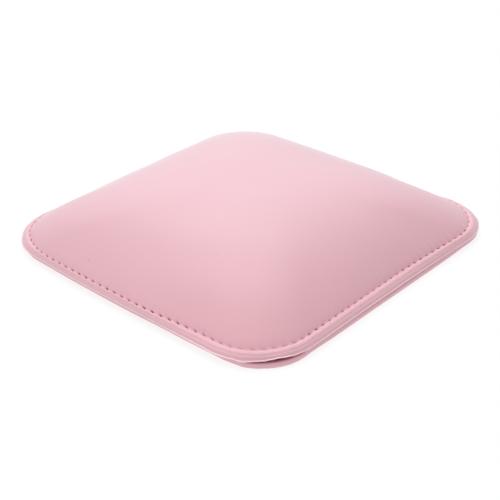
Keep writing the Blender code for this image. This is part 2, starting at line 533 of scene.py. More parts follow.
class ShellMesh:
    """Closed body made of rings of points, one inside the other or one below the other."""

    def __init__(self, name: str, round_length: float) -> None:
        """Start an empty body.

        Args:
            name: Name of the object that it becomes.
            round_length: Length of the seam all round.
        """
        self.name = name
        self.round_length = round_length
        self.points: list[np.ndarray] = []
        self.faces: list[tuple[int, ...]] = []
        self.masks: dict[Mask, list[np.ndarray]] = {mask: [] for mask in Mask}
        self.walk: list[np.ndarray] = []
        self.count = 0
        self.last: np.ndarray | None = None

    def _add(self, points: np.ndarray, walk: np.ndarray, masks: dict[Mask, np.ndarray]) -> np.ndarray:
        """Add loose points.

        Args:
            points: The points.
            walk: Distance round the seam and reach of each point.
            masks: Values of the masks at each point, where they aren't zero.

        Returns:
            The points' numbers.
        """
        numbers = np.arange(self.count, self.count + len(points))
        self.count += len(points)
        self.points.append(points)
        self.walk.append(walk)
        for mask, values in self.masks.items():
            values.append(masks.get(mask, np.zeros(len(points))))
        return numbers

    def ring(
        self,
        points: np.ndarray,
        columns: Columns,
        reach: float,
        masks: dict[Mask, np.ndarray] | None = None,
    ) -> None:
        """Add the next ring and join it to the last one.

        Args:
            points: The ring's points in order, one for each column.
            columns: Columns of the mesh.
            reach: Reach of the ring from the seam.
            masks: Values of the masks at each point, where they aren't zero.
        """
        walk = np.column_stack([columns.distance, np.full(len(points), reach)])
        numbers = self._add(points, walk, masks or {})
        if self.last is None:
            self._cap(numbers)
        elif len(self.last) == len(numbers):
            self._join_even(self.last, numbers)
        elif len(self.last) > len(numbers):
            self._join_fans(self.last, numbers, flip=False)
        else:
            self._join_fans(numbers, self.last, flip=True)
        self.last = numbers

    def close(self) -> None:
        """Close the body with a cap on its last ring."""
        self._cap(self.last)

    def _cap(self, numbers: np.ndarray) -> None:
        """Fill a ring with triangles round its middle.

        Args:
            numbers: Numbers of the ring's points, which were the last to be added.
        """
        ring = self.points[-1]
        middle = self._add(ring.mean(axis=0)[None, :], self.walk[-1][:1], {})[0]
        for a, b in zip(numbers, np.roll(numbers, -1)):
            self.faces.append((int(a), int(b), int(middle)))

    def _join_even(self, upper: np.ndarray, lower: np.ndarray) -> None:
        """Join two rings of the same count with four-sided faces."""
        faces = np.stack([upper, np.roll(upper, -1), np.roll(lower, -1), lower], axis=1)
        self.faces.extend(map(tuple, faces.tolist()))

    def _join_fans(self, fine: np.ndarray, coarse: np.ndarray, flip: bool) -> None:
        """Join a fine ring to a coarse one.

        Args:
            fine: Numbers of the fine ring's points.
            coarse: Numbers of the coarse ring's points.
            flip: Whether the coarse ring is the upper one.
        """
        ratio = len(fine) // len(coarse)
        half = ratio // 2
        for index, point in enumerate(coarse.tolist()):
            follower = int(coarse[(index + 1) % len(coarse)])
            fan = [int(fine[(index * ratio + step) % len(fine)]) for step in range(-half, half + 2)]
            faces = [(point, a, b) for a, b in zip(fan[:-2], fan[1:-1])]
            faces.append((point, fan[-2], fan[-1], follower))
            self.faces.extend(tuple(reversed(face)) if flip else face for face in faces)

    def build(self, sharp_degrees: float = 60.0) -> bpy.types.Object:
        """Make the object, with smooth shading, its masks and its map of the seam.

        Args:
            sharp_degrees: Edges that turn by more than this stay sharp.

        Returns:
            The new object, linked to the scene.
        """
        mesh = bpy.data.meshes.new(self.name)
        mesh.from_pydata(np.concatenate(self.points).tolist(), [], self.faces)
        for mask, values in self.masks.items():
            layer = mesh.attributes.new(mask.value, "FLOAT", "POINT")
            layer.data.foreach_set("value", np.concatenate(values).astype(np.float32))
        distance, reach = np.concatenate(self.walk).T
        turn = math.tau * distance / self.round_length
        circle = self.round_length / math.tau
        places = np.column_stack([circle * np.cos(turn), circle * np.sin(turn), reach])
        layer = mesh.attributes.new(SEAM_MAP, "FLOAT_VECTOR", "POINT")
        layer.data.foreach_set("vector", places.ravel().astype(np.float32))
        fix_facing(mesh)
        mesh.shade_smooth()
        mesh.set_sharp_from_angle(angle=math.radians(sharp_degrees))
        return link(bpy.data.objects.new(self.name, mesh))


def fix_facing(mesh: bpy.types.Mesh) -> None:
    """Turn all faces of a closed mesh outward.

    Args:
        mesh: The mesh.
    """
    work = bmesh.new()
    work.from_mesh(mesh)
    bmesh.ops.recalc_face_normals(work, faces=work.faces)
    work.to_mesh(mesh)
    work.free()


def link(item: bpy.types.Object) -> bpy.types.Object:
    """Put an object into the scene and return it."""
    bpy.context.scene.collection.objects.link(item)
    return item


def dress(item: bpy.types.Object, material: bpy.types.Material) -> None:
    """Give an object one material."""
    item.data.materials.clear()
    item.data.materials.append(material)


@dataclass(frozen=True)
class PadShape:
    """Shape that all layers of the pad share.

    Args:
        seam: Outline of the seam line.
        edge: Outline of the top cover's outer edge.
        base: Outline of the base cover's outer edge.
        seam_height: Height of the seam line above the table.
        dome_rise: Height of the crown above the seam line.
        hem_bottom: Height of the top cover's lower edge.
        base_top: Height of the base cover's upper face.
        border_width: Width that the border's section is drawn for.
        base_reach: Distance from the seam to the base's edge that its section is drawn for.
        dome_fullness: Power that sets how early the dome rises from the seam.
        foot_puff: Extra height of the plump foot of the dome, just inside the seam.
        foot_turn: Distance inside the seam over which the foot rises.
        foot_fade: Distance over which its extra height fades towards the crown.
        corner_rounding: Power that sets how late the dome's corners turn round.
        leather: Thickness of both covers.
        drift_reach: How far inside the seam its drift fades out.
        hem_reach: How far each cover's hem runs inside the seam.
        corner_spread: Distance from a corner's middle over which its gathers fade.
    """

    seam: Outline
    edge: Outline
    base: Outline
    seam_height: float
    dome_rise: float
    hem_bottom: float
    base_top: float
    border_width: float = 3.4 * MM
    base_reach: float = 2.1 * MM
    dome_fullness: float = 3.0
    foot_puff: float = 1.50 * MM
    foot_turn: float = 6.0 * MM
    foot_fade: float = 14.0 * MM
    corner_rounding: float = 1.5
    leather: float = 1.0 * MM
    drift_reach: float = 18.0 * MM
    hem_reach: float = 3.0 * MM
    corner_spread: float = 17.0 * MM

    @staticmethod
    def of_frame() -> "PadShape":
        """Return the shape that the frame's pieces hold.

        Returns:
            The shape.
        """
        thread_low, thread_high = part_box(ThreadSide.NEEDLE.value)
        cover_low, cover_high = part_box("top_cover")
        seam_height = (thread_low.z + thread_high.z) / 2
        thread_radius = (thread_high.z - thread_low.z) / 2
        seam = Outline(
            x=(thread_low.x + thread_high.x) / 2,
            y=(thread_low.y + thread_high.y) / 2,
            half_x=(thread_high.x - thread_low.x) / 2 - thread_radius,
            half_y=(thread_high.y - thread_low.y) / 2 - thread_radius,
            radius=SEAM_CORNER,
        )
        return PadShape(
            seam=seam,
            edge=seam.widened(BORDER_WIDTHS, EDGE_CORNER),
            base=seam.widened(BASE_WIDTHS, BASE_CORNER),
            seam_height=seam_height,
            dome_rise=cover_high.z - seam_height,
            hem_bottom=cover_low.z,
            base_top=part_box("base_cover")[1].z,
        )

    def dome_outline(self, reach: float) -> Outline:
        """Return the rounded square at a place on the dome, rounder towards the crown.

        Args:
            reach: Reach of the place, which is negative.

        Returns:
            The outline.
        """
        inward = -reach / self.seam.half_x
        squareness = self.seam.radius / self.seam.half_x
        half = self.seam.half_x + reach
        radius = half * (squareness + (1 - squareness) * inward**self.corner_rounding)
        return Outline(self.seam.x, self.seam.y, half, half, radius)

    def drift_share(self, reach: float) -> float:
        """Return the share of the seam's drift that is left at a place inside the seam."""
        return max(0.0, 1 + reach / self.drift_reach) ** 2

    def cover_plan(self, reach: float, columns: Columns) -> np.ndarray:
        """Return the top cover's places in plan at a reach, with the drift of seam and edge.

        Args:
            reach: Distance outward from the seam.
            columns: Columns of the mesh.

        Returns:
            One row of x and y for each column.
        """
        seam_step = SEAM_DRIFT.at(columns)
        if reach < 0:
            step = seam_step * self.drift_share(reach)
            return columns.on(self.dome_outline(reach)) + columns.outward * step[:, None]
        share = reach / self.border_width
        step = seam_step * (1 - share) + EDGE_DRIFT.at(columns) * share
        return columns.on(self.seam.towards(self.edge, share)) + columns.outward * step[:, None]

    def base_plan(self, reach: float, columns: Columns) -> np.ndarray:
        """Return the base cover's places in plan at a reach; its seam drifts with its edge.

        Args:
            reach: Distance outward from the seam.
            columns: Columns of the mesh.

        Returns:
            One row of x and y for each column.
        """
        step = BASE_DRIFT.at(columns)
        if reach < 0:
            outline = self.dome_outline(reach)
            step = step * self.drift_share(reach)
        else:
            outline = self.seam.towards(self.base, reach / self.base_reach)
        return columns.on(outline) + columns.outward * step[:, None]

    @property
    def round_length(self) -> float:
        """Length of the seam all round."""
        return 8 * (self.seam.half_x - self.seam.radius) + math.tau * self.seam.radius

    def dome_height(self, reach: np.ndarray) -> np.ndarray:
        """Return the height of the dome over the seam line at each reach."""
        share = 1 + np.asarray(reach) / self.seam.half_x
        return self.dome_rise * (1 - share**self.dome_fullness)

    def foot_height(self, reach: float, columns: Columns) -> np.ndarray:
        """Return the extra height of the dome's plump foot, which is less at the corners."""
        rise = (1 - math.exp(reach / self.foot_turn)) * math.exp(reach / self.foot_fade)
        return self.foot_puff * rise * FOOT_SHARE.at(columns)


@dataclass
class TopCover:
    """Leather panel over the cushion: dome, seam, rounded border and turned-in hem.

    Args:
        shape: Shape that the layers share.
        walk: The seam line.
        border: Section from the seam to the lower lip, as reach and height over the seam.
        lining: Section of the inner face from the border to the dome's foot, in the same way.
        dome_reaches: Reaches of the mesh rows on the dome's foot, near the seam.
        fine_phases: Mesh columns in each stitch near the seam.
        coarse_phases: Mesh columns in each stitch over the dome and inside.
        dome_rows: Number of mesh rows from the dome's foot to its crown.
        crown_reach: Distance from the crown's middle to the last row.
        lining_start: Reach of the first row of the dome's inner face.
        groove_width: Distance over which the stitches pull the dome's foot down.
        hole_width: Half width of a needle hole.
        hole_depth: Depth of a needle hole.
        hole_slant: Angle of the holes to the seam, in degrees.
        hole_openness: Smallest and largest share by which a single hole stays open.
        hole_seed: Number that fixes those shares.
        pucker_depth: Height of the leather between two needle holes over the leather at them.
        pucker_reach: Distance over which the puckers fade.
        pucker_level: Share of a pucker's height that lies at the plain section.
        pucker_strength: Smallest and largest strength of a single pucker.
        crease_depth: Depth of the fine creases that run up the dome's foot.
        crease_middle: Distance inside the seam where they are deepest.
        crease_fade: Distance over which they fade from there.
        crease_slant: Distance along the seam that they run for each unit up the dome.
        crease_waves: The creases one by one.
        crease_patches: Where they lie.
        patch_level: Level added to that, which widens the patches.
        patch_most: Largest strength in a patch.
        lip_wave: Height of the waves in the lip at the corners.
        lip_waves: Those waves one by one.
        edge_wave: Height of the lip's slow waves all round.
        edge_waves: Those waves one by one.
        folds_in_corner: Number of folds in each of the corners that the photograph hides.
        fold_seed: Number that fixes those folds.
        lip_start: Reach beyond which the lip's edge gets its painted highlight.
        lip_drop: How far under the seam the middle of that painted highlight lies.
        lip_half: Half height of that painted highlight.
        wall_start: Reach where the border's wall begins, and its painted floor light with it.
        wall_blend: Distance over which that painted floor light sets in.
        wall_painted_light: Share of the painted highlight colour that the border's wall gets, as
            painted floor light.
        swell: Slow unevenness of the dome.
        swell_start: Distance inside the seam where the unevenness sets in.
        swell_blend: Distance over which it grows to its full height.
    """

    shape: PadShape
    walk: SeamWalk
    border: Section = in_metres(
        (0.00, -0.18), (0.30, -0.04), (0.65, 0.07), (1.15, 0.04), (1.68, -0.13), (2.00, -0.34),
        (2.17, -0.58), (2.42, -0.74), (2.70, -0.98), (2.86, -1.30), (2.94, -1.62), (3.02, -1.82),
        (3.16, -1.93), (3.36, -2.01), (3.45, -2.15), (3.41, -2.34), (3.20, -2.48), (2.60, -2.48),
    )
    lining: Section = in_metres(
        (1.7, -1.22), (1.3, -1.08), (0.7, -0.98), (-0.9, -0.95),
    )
    dome_reaches: tuple[float, ...] = tuple(-reach * MM for reach in (
        0.15, 0.30, 0.45, 0.62, 0.82, 1.05, 1.35, 1.7, 2.15, 2.7, 3.4, 4.2, 5.1, 6.2, 7.5, 9.0,
    ))
    fine_phases: tuple[float, ...] = (0.0, 0.055, 0.12, 0.21, 0.34, 0.50, 0.66, 0.79, 0.88, 0.945)
    coarse_phases: tuple[float, ...] = (0.0, 0.50)
    dome_rows: int = 34
    crown_reach: float = 1.5 * MM
    lining_start: float = -1.8 * MM
    groove_width: float = 0.9 * MM
    hole_width: float = 0.19 * MM
    hole_depth: float = 0.45 * MM
    hole_slant: float = 14.0
    hole_openness: tuple[float, float] = (0.55, 1.08)
    hole_seed: int = 40
    pucker_depth: float = 0.14 * MM
    pucker_reach: float = 1.6 * MM
    pucker_level: float = 0.6
    pucker_strength: tuple[float, float] = (0.5, 1.5)
    crease_depth: float = 0.05 * MM
    crease_middle: float = 1.4 * MM
    crease_fade: float = 1.5 * MM
    crease_slant: float = 0.4
    crease_waves: Ripple = Ripple(1.3 * MM, 2.6 * MM, seed=5)
    crease_patches: Ripple = Ripple(9 * MM, 30 * MM, seed=6)
    patch_level: float = 0.3
    patch_most: float = 1.2
    lip_wave: float = 0.07 * MM
    lip_waves: Ripple = Ripple(2.5 * MM, 6 * MM, seed=8)
    edge_wave: float = 0.04 * MM
    edge_waves: Ripple = Ripple(25 * MM, 90 * MM, seed=9)
    folds_in_corner: int = 5
    fold_seed: int = 17
    lip_start: float = 3.0 * MM
    lip_drop: float = 2.04 * MM
    lip_half: float = 0.17 * MM
    wall_start: float = 2.1 * MM
    wall_blend: float = 0.3 * MM
    wall_painted_light: float = 0.15
    swell: Undulation = Undulation(0.10 * MM, 38 * MM, seed=3)
    swell_start: float = 4 * MM
    swell_blend: float = 5 * MM

    def groove(self, reach: np.ndarray) -> np.ndarray:
        """Return how deep the stitches pull the dome's foot down at each reach."""
        return self.border[0][1] * np.exp(-((reach / self.groove_width) ** 2))

    def rows(self) -> np.ndarray:
        """Return the fine rows, from the dome's foot to the lip.

        Returns:
            One row of reach and height for each mesh row.
        """
        inside = np.array(self.dome_reaches[::-1])
        foot = np.stack([inside, self.shape.dome_height(inside) + self.groove(inside)], axis=1)
        section = np.concatenate([foot, smooth_line(self.border, 2)])
        section[:, 1] += self.shape.seam_height
        return section

    def hole_mask(self, reach: float, columns: Columns) -> np.ndarray:
        """Return the darkness of each needle hole in its middle, falling to 0 outside it; it sets the
        hole's depth and its painted shade.

        Args:
            reach: Distance outward from the seam.
            columns: Columns of the mesh.

        Returns:
            One darkness for each column.
        """
        nearest = np.round(columns.stitch - 0.5) + 0.5
        along = columns.distance - self.walk.distance_of(nearest)
        slant = math.radians(self.hole_slant)
        lengthwise = along * math.cos(slant) + reach * math.sin(slant)
        crosswise = -along * math.sin(slant) + reach * math.cos(slant)
        spread = (lengthwise / HOLE_LENGTHS.at(columns)) ** 4 + (crosswise / self.hole_width) ** 4
        openness = random_source(self.hole_seed).uniform(*self.hole_openness, self.walk.total)
        openness = openness[(nearest - 0.5).astype(int) % self.walk.total]
        return HOLE_DARKNESS.at(columns) * openness * np.exp(-spread)

    def relief(self, reach: float, columns: Columns) -> np.ndarray:
        """Return how far the leather stands proud of its plain section near the seam.

        Args:
            reach: Distance outward from the seam.
            columns: Columns of the mesh.

        Returns:
            One height for each column.
        """
        phase = columns.stitch - 0.5
        crest = 0.5 - 0.5 * np.cos(math.tau * phase)
        strength = random_source(0).uniform(*self.pucker_strength, self.walk.total)
        strength = strength[np.floor(phase).astype(int) % self.walk.total]
        fade = math.exp(-((abs(reach) / self.pucker_reach) ** 1.5))
        height = self.pucker_depth * (crest - self.pucker_level) * strength * fade
        if reach < 0:
            height = height + self.creases(reach, columns)
        return height - self.hole_depth * self.hole_mask(reach, columns)

    def creases(self, reach: float, columns: Columns) -> np.ndarray:
        """Return the fine creases that run up the dome's foot, here and there.

        Args:
            reach: Distance outward from the seam.
            columns: Columns of the mesh.

        Returns:
            One height for each column.
        """
        fine = self.crease_waves.at(columns, self.crease_slant * reach)
        where = np.clip(self.crease_patches.at(columns) + self.patch_level, 0, self.patch_most)
        envelope = math.exp(-(((-reach - self.crease_middle) / self.crease_fade) ** 2))
        return self.crease_depth * fine * where * envelope

    def folds(self) -> list[Fold]:
        """Return the folds of the lip.

        Returns:
            The folds, with the near corner's first and random ones in the other corners after them.
        """
        folds = [Fold(*(size * MM for size in sizes)) for sizes in NEAR_CORNER_FOLDS]
        draw = random_source(self.fold_seed)
        for corner in (1, 2, 3):
            for _ in range(self.folds_in_corner):
                place, spread, out, lift = (draw.uniform(*ends) * MM for ends in HIDDEN_FOLD_RANGES)
                folds.append(Fold(corner * self.walk.quarter + place, spread, out, lift))
        return folds

    def lip_motion(self, height: float, columns: Columns) -> np.ndarray:
        """Return how far the lower lip moves out and up where its turned edge is gathered.

        Args:
            height: Height of the place in the lip.
            columns: Columns of the mesh.

        Returns:
            The outward and the upward motion of each column.
        """
        drop = (self.shape.seam_height - height) / (-self.border[-1][1])
        gathers = columns.near_corners(self.shape.corner_spread) * self.lip_waves.at(columns)
        motion = np.zeros((len(columns.distance), 2))
        motion[:, 1] = self.lip_wave * gathers + self.edge_wave * self.edge_waves.at(columns)
        for fold in self.folds():
            motion += fold.share(columns)[:, None] * np.array([fold.out, fold.lift])
        return limited(drop) ** 2 * motion

    def place(
        self, reach: float, height: float, columns: Columns, push: np.ndarray | None = None
    ) -> np.ndarray:
        """Return the points of one ring.

        Args:
            reach: Reach of the ring from the seam.
            height: Height of the ring.
            columns: Columns of the mesh.
            push: Outward and upward motion of each point, if any.

        Returns:
            One row of x, y and z for each column.
        """
        if push is None:
            push = np.zeros((len(columns.distance), 2))
        plan = self.shape.cover_plan(reach, columns) + columns.outward * push[:, :1]
        return np.column_stack([plan, height + push[:, 1]])

    def dome_ring(self, shell: ShellMesh, reach: float, columns: Columns, depth: float) -> None:
        """Add one row of the dome to a shell, at a depth below its face.

        Args:
            shell: Shell that the row goes into.
            reach: Reach of the row, which is negative.
            columns: Columns of the mesh.
            depth: Depth of the row below the dome's face.
        """
        shape = self.shape
        rise = shape.dome_rise * shape.dome_fullness
        rise = rise * (1 + reach / shape.seam.half_x) ** (shape.dome_fullness - 1)
        slope = math.atan2(rise, shape.seam.half_x)
        height = shape.seam_height + float(shape.dome_height(reach)) - depth * math.cos(slope)
        points = self.place(reach - depth * math.sin(slope), height, columns)
        points[:, 2] += self.swell.at(points[:, :2]) + shape.foot_height(reach, columns)
        shell.ring(points, columns, reach)

    def painted_light_share(self, reach: float, height: float) -> float:
        """Return the share of painted light at a place on the border: a painted highlight along the
        lip's edge and painted floor light on the wall.

        Args:
            reach: Distance outward from the seam.
            height: Height of the place.

        Returns:
            The share, from 0 to 1.
        """
        drop = self.shape.seam_height - height
        # Painted floor light on the border's wall
        wall = self.wall_painted_light * limited((reach - self.wall_start) / self.wall_blend)
        if reach <= self.lip_start:
            return wall
        # Painted highlight along the lip's edge
        return max(wall, math.exp(-(((drop - self.lip_drop) / self.lip_half) ** 4)))

    def rim_rings(self, shell: ShellMesh, columns: Columns) -> None:
        """Add the fine rows from the dome's foot over the seam and border to the lip.

        Args:
            shell: Shell that the rows go into.
            columns: Columns of the mesh.
        """
        section = self.rows()
        for (reach, height), (out, up) in zip(section, section_normals(section)):
            relief = self.relief(reach, columns)
            push = np.column_stack([relief * out, relief * up]) + self.lip_motion(height, columns)
            points = self.place(reach, height, columns, push)
            inner = limited((-reach - self.swell_start) / self.swell_blend)
            points[:, 2] += inner * self.swell.at(points[:, :2])
            points[:, 2] += self.shape.foot_height(min(reach, 0.0), columns)
            masks = {
                # Painted shade in the needle holes
                Mask.HOLE_SHADE: self.hole_mask(reach, columns),
                # Painted highlight on the lip and painted floor light on the wall
                Mask.EDGE: np.full(len(points), self.painted_light_share(reach, height)),
            }
            shell.ring(points, columns, reach, masks)

    def build(self) -> bpy.types.Object:
        """Build the cover as one closed sheet with an outer and an inner face.

        Returns:
            The cover, linked to the scene.
        """
        shape = self.shape
        fine = self.walk.spread(self.fine_phases)
        coarse = self.walk.spread(self.coarse_phases)
        shell = ShellMesh("padded_top_cover", shape.round_length)
        crown = -shape.seam.half_x + self.crown_reach
        for reach in np.linspace(crown, self.dome_reaches[-1], self.dome_rows, endpoint=False):
            self.dome_ring(shell, float(reach), coarse, 0.0)
        self.rim_rings(shell, fine)
        hem_top = shape.hem_bottom + shape.leather
        turn = self.border[-1][0] - shape.leather
        inside = [
            (turn, shape.hem_bottom),
            (-shape.hem_reach, shape.hem_bottom),
            (-shape.hem_reach, hem_top),
            (turn, hem_top),
        ]
        inside += [(reach, shape.seam_height + drop) for reach, drop in self.lining]
        # The hem and the inner face get painted shade, which shows where the lip is lifted
        for reach, height in inside:
            points = self.place(reach, height, coarse)
            shell.ring(points, coarse, reach, {Mask.SHADE: np.ones(len(points))})
        for reach in np.linspace(self.lining_start, crown, self.dome_rows):
            self.dome_ring(shell, float(reach), coarse, shape.leather)
        shell.close()
        return shell.build()


@dataclass
class BaseCover:
    """Flat leather underside with its turned edge, which shows as a band under the border.

    Args:
        shape: Shape that the layers share.
        walk: The seam line.
        edge: Section of the turned edge, as reach and height.
        under_reaches: Reaches of the mesh rows on the flat underside.
        phases: Mesh columns in each stitch.
        gather_depth: Depth of the gathers in the edge at the corners.
        gather_waves: Those gathers one by one.
        groove_half: Half width of the bobbin thread's groove.
        groove_depth: Depth of the bobbin thread's groove.
        groove_side: Width of each sloping side of the groove.
        groove_bottom: Share of its width at its deepest.
        groove_shoulder: Share of its depth where the sloping sides end.
        shade_from: Height above which the edge darkens with painted shade towards the fold under the
            border.
        sharp_turn: Turn between two faces, in degrees, that stays sharp beside the groove.
    """

    shape: PadShape
    walk: SeamWalk
    edge: Section = in_metres(
        (1.40, 0.00), (1.84, 0.03), (2.04, 0.20), (2.10, 0.65), (2.08, 1.20),
        (2.00, 1.62), (1.82, 1.95), (1.50, 2.15), (1.00, 2.26), (0.60, 2.28),
    )
    under_reaches: tuple[float, ...] = (-60.0 * MM, -12.0 * MM, -3.0 * MM)
    phases: tuple[float, ...] = (0.0, 0.10, 0.25, 0.5, 0.75, 0.90)
    gather_depth: float = 0.10 * MM
    gather_waves: Ripple = Ripple(3 * MM, 6 * MM, seed=12)
    groove_half: float = 0.5 * MM
    groove_depth: float = 0.62 * MM
    groove_side: float = 0.4 * MM
    groove_bottom: float = 0.4
    groove_shoulder: float = 0.75
    shade_from: float = 1.86 * MM
    sharp_turn: float = 40.0

    def section(self) -> np.ndarray:
        """Return the section of the whole sheet, from under the middle to inside it.

        Returns:
            One row of reach and height for each point.
        """
        leather = self.shape.leather
        top = self.shape.base_top
        hem_end = -self.shape.hem_reach
        turn = self.edge[-1][0]
        groove = (
            (self.groove_half + self.groove_side, 0.0),
            (self.groove_half, self.groove_depth * self.groove_shoulder),
            (self.groove_half * self.groove_bottom, self.groove_depth),
        )
        under = [(reach, 0.0) for reach in self.under_reaches]
        under += [(-reach, height) for reach, height in groove]
        under += reversed(groove)
        inside = (
            (0.0, top),
            (hem_end, top),
            (hem_end, top - leather),
            (turn, top - leather),
            (turn, leather),
            (hem_end, leather),
            (self.under_reaches[0], leather),
        )
        return np.concatenate([under, smooth_line(self.edge, 2), inside])

    def gathers(self, reach: float, columns: Columns) -> np.ndarray:
        """Return how far the edge is drawn in at the corners' gathers.

        Args:
            reach: Distance outward from the seam.
            columns: Columns of the mesh.

        Returns:
            One outward distance for each column, which is negative.
        """
        share = limited(reach / self.shape.base_reach) ** 3
        corner = columns.near_corners(self.shape.corner_spread)
        return -self.gather_depth * share * corner * (1 + self.gather_waves.at(columns)) / 2

    def build(self) -> bpy.types.Object:
        """Build the base cover as one closed sheet.

        Returns:
            The base cover, linked to the scene.
        """
        columns = self.walk.spread(self.phases)
        shell = ShellMesh("base_cover_sheet", self.shape.round_length)
        shade_height = self.shape.base_top - self.shade_from
        for reach, height in self.section():
            plan = self.shape.base_plan(float(reach), columns)
            plan = plan + columns.outward * self.gathers(float(reach), columns)[:, None]
            points = np.column_stack([plan, np.full(len(plan), height)])
            # Painted shade on the edge's top, darkest where the border's lip overhangs it
            deep = np.full(len(points), limited((height - self.shade_from) / shade_height))
            shell.ring(points, columns, reach, {Mask.SHADE: deep})
        shell.close()
        return shell.build(self.sharp_turn)


@dataclass
class StitchRow:
    """One side of the lockstitch seam: a short twisted length of thread for each stitch.

    Args:
        shape: Shape that the layers share.
        walk: The seam line.
        side: Which of the two threads this row is.
        radius: Radius of the thread.
        middle_height: Height of the thread's middle between two holes.
        dip: How far the thread goes into the leather at the holes.
        inward_end: Sideways place of each stitch's first end, outward from the seam.
        hole_gap: Length left free at each needle hole.
        twists: Turns of the thread's two strands along one stitch.
        strand_relief: Share of the radius by which the strands stand out.
        end_taper: Share of the thickness that is left at a stitch's ends.
        steps: Mesh rings along one stitch.
        sides: Mesh points round the thread.
    """

    shape: PadShape
    walk: SeamWalk
    side: ThreadSide
    radius: float
    middle_height: float
    dip: float
    inward_end: float = 0.14 * MM
    hole_gap: float = 0.30 * MM
    twists: float = 2.2
    strand_relief: float = 0.05
    end_taper: float = 0.6
    steps: int = 15
    sides: int = 10

    def path(self, index: int) -> np.ndarray:
        """Return the points that the thread's middle follows for one stitch.

        Args:
            index: Number of the stitch.

        Returns:
            One row of x, y and z for each ring.
        """
        share = np.linspace(0, 1, self.steps)
        marks = self.walk.distance_of(np.array([index + 0.5, index + 1.5]))
        gap = self.hole_gap / (marks[1] - marks[0])
        stitch = index + 0.5 + gap + (1 - 2 * gap) * share
        columns = self.walk.columns(stitch)
        drift = SEAM_DRIFT if self.side is ThreadSide.NEEDLE else BASE_DRIFT
        sideways = self.inward_end * (1 - 2 * share) + drift.at(columns)
        plan = columns.on(self.shape.seam) + columns.outward * sideways[:, None]
        bow = np.abs(2 * share - 1) ** 4
        return np.column_stack([plan, self.middle_height + self.dip * bow])

    def rings(self, path: np.ndarray) -> np.ndarray:
        """Return the rings of points round a stitch's path, with two twisted strands.

        Args:
            path: Points that the thread's middle follows.

        Returns:
            The points by ring and by place round the thread.
        """
        ahead = np.gradient(path, axis=0)
        ahead /= np.linalg.norm(ahead, axis=1, keepdims=True)
        across = np.cross(ahead, np.array([0.0, 0.0, 1.0]))
        across /= np.linalg.norm(across, axis=1, keepdims=True)
        upward = np.cross(across, ahead)
        angles = np.linspace(0, math.tau, self.sides, endpoint=False)
        turn = np.linspace(0, math.tau * self.twists, len(path))[:, None]
        size = self.radius * (1 + self.strand_relief * np.cos(2 * angles[None, :] - turn))
        size[[0, -1]] *= self.end_taper
        offset = (
            across[:, None, :] * (size * np.cos(angles))[..., None]
            + upward[:, None, :] * (size * np.sin(angles))[..., None]
        )
        return path[:, None, :] + offset

    def build(self) -> bpy.types.Object:
        """Build all stitches of this row as one object.

        Returns:
            The stitches, linked to the scene.
        """
        points, faces = [], []
        for index in range(self.walk.total):
            rings = self.rings(self.path(index))
            base = len(points)
            points.extend(rings.reshape(-1, 3).tolist())
            for row in range(self.steps - 1):
                for side in range(self.sides):
                    after = (side + 1) % self.sides
                    a, b = base + row * self.sides, base + (row + 1) * self.sides
                    faces.append((a + side, a + after, b + after, b + side))
            end = base + (self.steps - 1) * self.sides
            faces.append(tuple(base + side for side in range(self.sides)))
            faces.append(tuple(end + side for side in reversed(range(self.sides))))
        name = self.side.value + "_stitches"
        mesh = bpy.data.meshes.new(name)
        mesh.from_pydata(points, [], faces)
        fix_facing(mesh)
        mesh.shade_smooth()
        return link(bpy.data.objects.new(name, mesh))


